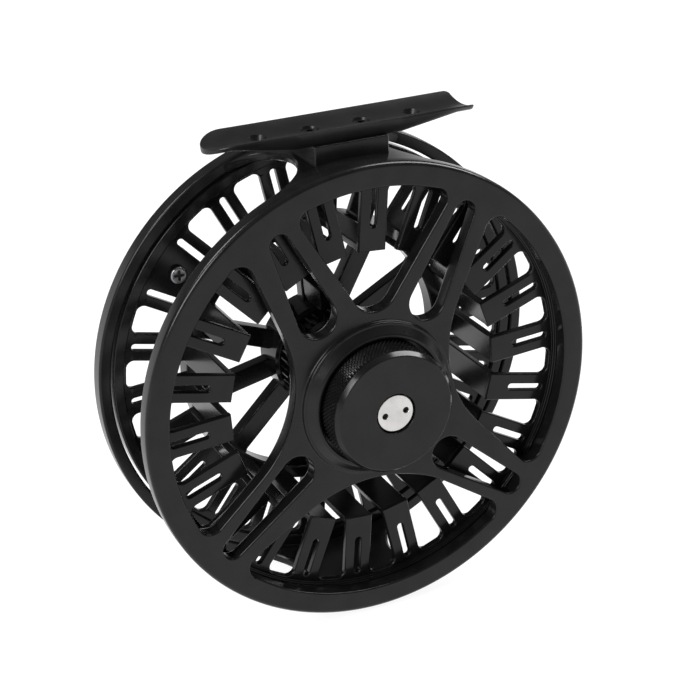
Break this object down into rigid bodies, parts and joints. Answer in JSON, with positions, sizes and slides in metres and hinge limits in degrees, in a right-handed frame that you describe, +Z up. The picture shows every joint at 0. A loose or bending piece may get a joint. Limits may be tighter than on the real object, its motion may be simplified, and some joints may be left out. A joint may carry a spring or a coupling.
{
  "type": "fly reel",
  "caption": "Black fly reel with a windowed one-piece frame, skeleton spool on bearings, knurled side drag knob, crank handle and a troughed foot for the rod's reel seat.",
  "frame": {"origin": "on the bottom of the foot's trough, straight above the spool's axis and half way across the foot", "axes": "+Z up through the foot to the rod, +Y along the spool's axis from the drag knob to the handle side, +X to the right as seen from the knob side"},
  "size_m": [0.1058, 0.0663, 0.112],
  "materials": {
    "frame_black": "satin black anodised, machined",
    "foot_black": "satin black anodised, bead blasted",
    "spool_black": "satin black anodised, machined",
    "knob_black": "satin black anodised with a diamond-knurled side",
    "inner_black": "satin black anodised",
    "grip_black": "matt black grip",
    "silver": "bright, lightly turned",
    "bright_steel": "ground stainless",
    "screw_dark": "black oxide",
    "brass": "turned",
    "friction": "carbon friction material",
    "seal_rubber": "matt"
  },
  "bodies": {
    "frame_side": {"frame": "frame_black", "reel_foot": "foot_black", "foot_screw_1": "screw_dark", "foot_screw_2": "screw_dark", "drag_housing": "inner_black", "housing_screw_1": "screw_dark", "housing_screw_2": "screw_dark", "housing_screw_3": "screw_dark", "housing_cover": "inner_black", "shaft_seal": "seal_rubber", "spindle": "bright_steel", "friction_disc_rear": "friction"},
    "knob": {"drag_knob": "knob_black", "knob_cap": "silver"},
    "presser": {"thrust_pin_1": "bright_steel", "thrust_pin_2": "bright_steel", "thrust_pin_3": "bright_steel", "disc_spring": "bright_steel", "pressure_plate": "screw_dark", "friction_disc_front": "friction"},
    "rotor": {"drag_rotor": "bright_steel", "click_gear": "screw_dark"},
    "release_cap": {"spool_cap": "inner_black"},
    "spool": {"spool": "spool_black", "front_bearing": "bright_steel", "one_way_clutch": "bright_steel", "rear_bearing": "bright_steel", "plunger_block": "inner_black", "plunger_spring": "bright_steel", "handle_post": "bright_steel", "handle_screw": "silver", "handle_washer": "brass", "counterweight": "inner_black", "counterweight_screw": "silver"},
    "handle": {"handle_knob": "grip_black"},
    "plunger": {"click_plunger": "bright_steel"}
  },
  "joints": [
    {"name": "drag_turn", "type": "hinge", "parent": "frame_side", "child": "knob", "pos_m": [0, -0.014, -0.05756], "axis": [0, 1, 0], "range_deg": [0, 300]},
    {"name": "press_travel", "type": "slide", "parent": "frame_side", "child": "presser", "axis": [0, 1, 0], "range_m": [0, 0.00025]},
    {"name": "rotor_slip", "type": "hinge", "parent": "frame_side", "child": "rotor", "pos_m": [0, -0.014, -0.05756], "axis": [0, 1, 0], "continuous": true},
    {"name": "spool_release", "type": "slide", "parent": "frame_side", "child": "release_cap", "axis": [0, 1, 0], "range_m": [0, 0.045]},
    {"name": "spool_spin", "type": "hinge", "parent": "release_cap", "child": "spool", "pos_m": [0, -0.014, -0.05756], "axis": [0, 1, 0], "continuous": true},
    {"name": "handle_spin", "type": "hinge", "parent": "spool", "child": "handle", "pos_m": [0.03282, -0.014, -0.08257], "axis": [0, 1, 0], "continuous": true},
    {"name": "plunger_click", "type": "slide", "parent": "spool", "child": "plunger", "axis": [-0.0628, 0, 0.998], "range_m": [0, 0.0004], "stiffness_N_per_m": 50, "springref_m": -0.001}
  ],
  "couplings": [
    {"joint": "drag_turn", "follows": "press_travel", "rad_per_m": 20943}
  ]
}
